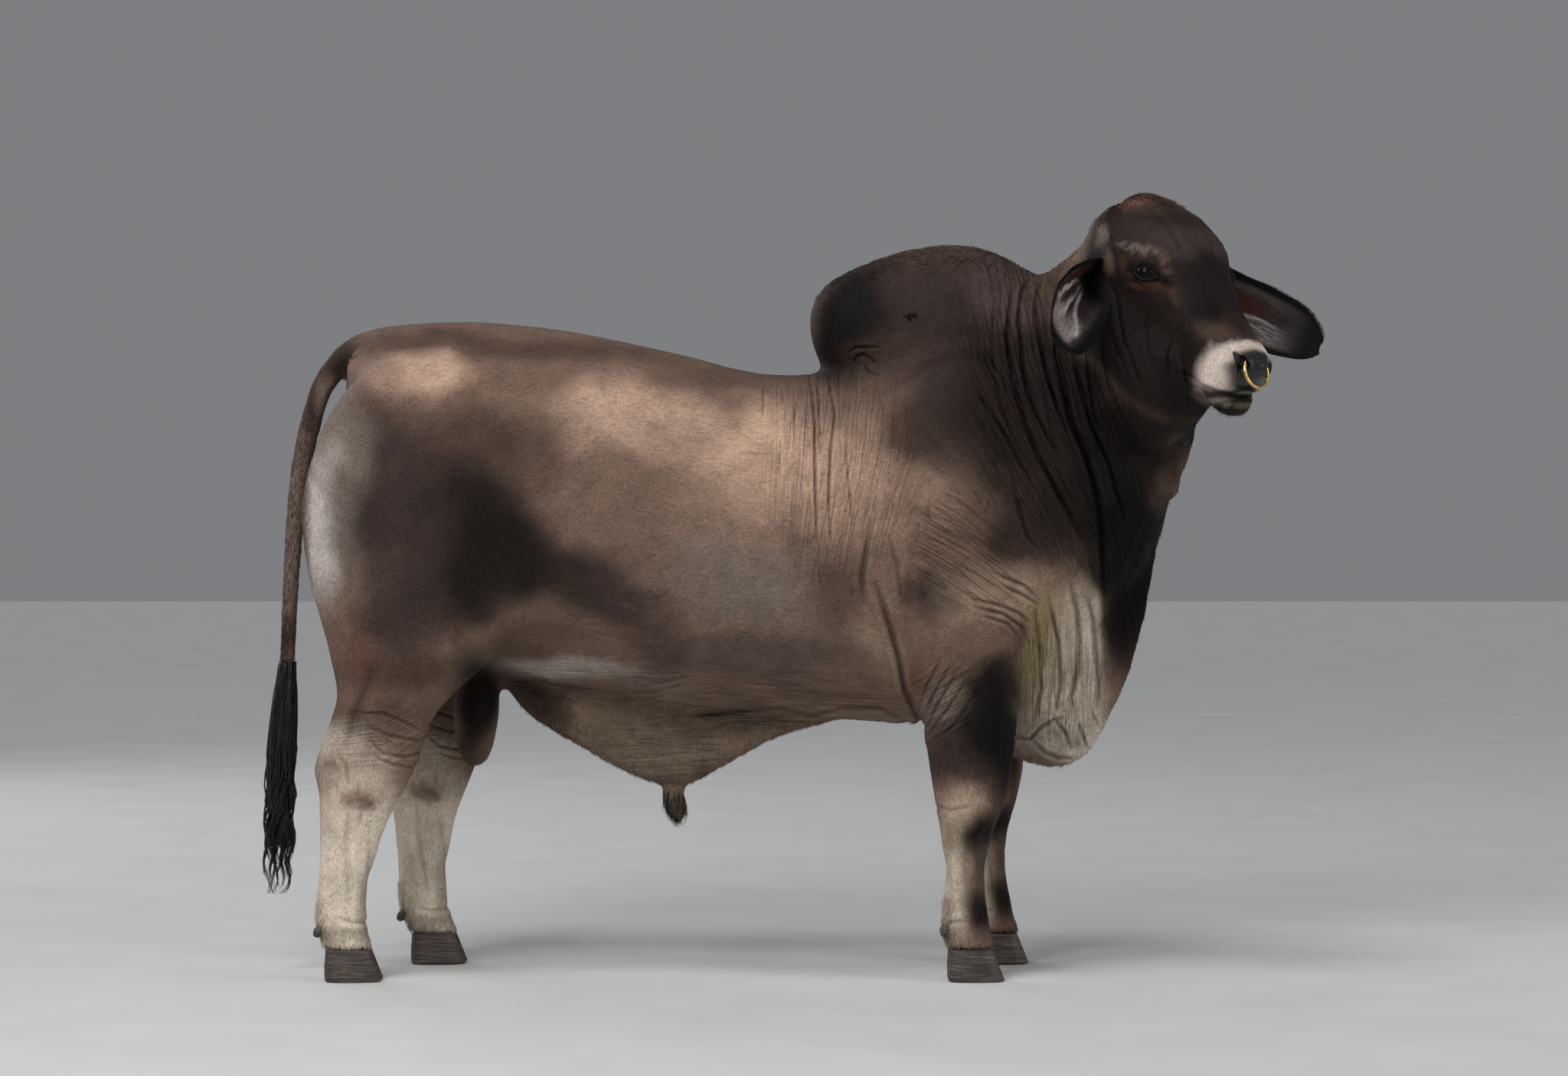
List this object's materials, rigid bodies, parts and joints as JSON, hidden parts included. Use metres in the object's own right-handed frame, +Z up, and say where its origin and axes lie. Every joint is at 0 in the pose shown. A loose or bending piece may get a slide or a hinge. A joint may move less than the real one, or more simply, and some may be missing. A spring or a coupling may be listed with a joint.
{
  "type": "brahman bull, still display model",
  "caption": "Life-size standing zebu bull with a shoulder hump, long drooping ears, deep dewlap and a nose ring, head turned to its right.",
  "frame": {"origin": "on the floor, at the middle of the whole model's box", "axes": "+X to the bull's front, +Y to its left, +Z up"},
  "size_m": [2.4968, 0.9254, 1.8185],
  "materials": {
    "coat": "short flat hair, dark brown shading to black and pale beige",
    "skin": "bare moist skin of nose, lips and lids",
    "horn": "dry ringed hoof horn",
    "eye": "wet and glossy",
    "hair": "long coarse black tail hair",
    "ring": "worn smooth"
  },
  "bodies": {
    "root": {"barrel": "coat", "dewlap": "coat", "forequarters": "coat", "head": "coat", "hindquarters": "coat", "hump": "coat", "left_ear": "coat", "left_eye": "eye", "left_fore_cannon": "coat", "left_fore_dewclaw_inner": "horn", "left_fore_dewclaw_outer": "horn", "left_fore_hoof_inner": "horn", "left_fore_hoof_outer": "horn", "left_forearm": "coat", "left_gaskin": "coat", "left_hind_cannon": "coat", "left_hind_dewclaw_inner": "horn", "left_hind_dewclaw_outer": "horn", "left_hind_hoof_inner": "horn", "left_hind_hoof_outer": "horn", "left_lids": "skin", "lower_jaw": "coat", "muzzle": "skin", "neck": "coat", "nose_ring": "ring", "right_ear": "coat", "right_eye": "eye", "right_fore_cannon": "coat", "right_fore_dewclaw_inner": "horn", "right_fore_dewclaw_outer": "horn", "right_fore_hoof_inner": "horn", "right_fore_hoof_outer": "horn", "right_forearm": "coat", "right_gaskin": "coat", "right_hind_cannon": "coat", "right_hind_dewclaw_inner": "horn", "right_hind_dewclaw_outer": "horn", "right_hind_hoof_inner": "horn", "right_hind_hoof_outer": "horn", "right_lids": "skin", "scrotum": "coat", "sheath": "coat", "tail": "coat", "tail_dock": "coat", "tail_switch": "hair"}
  },
  "joints": []
}
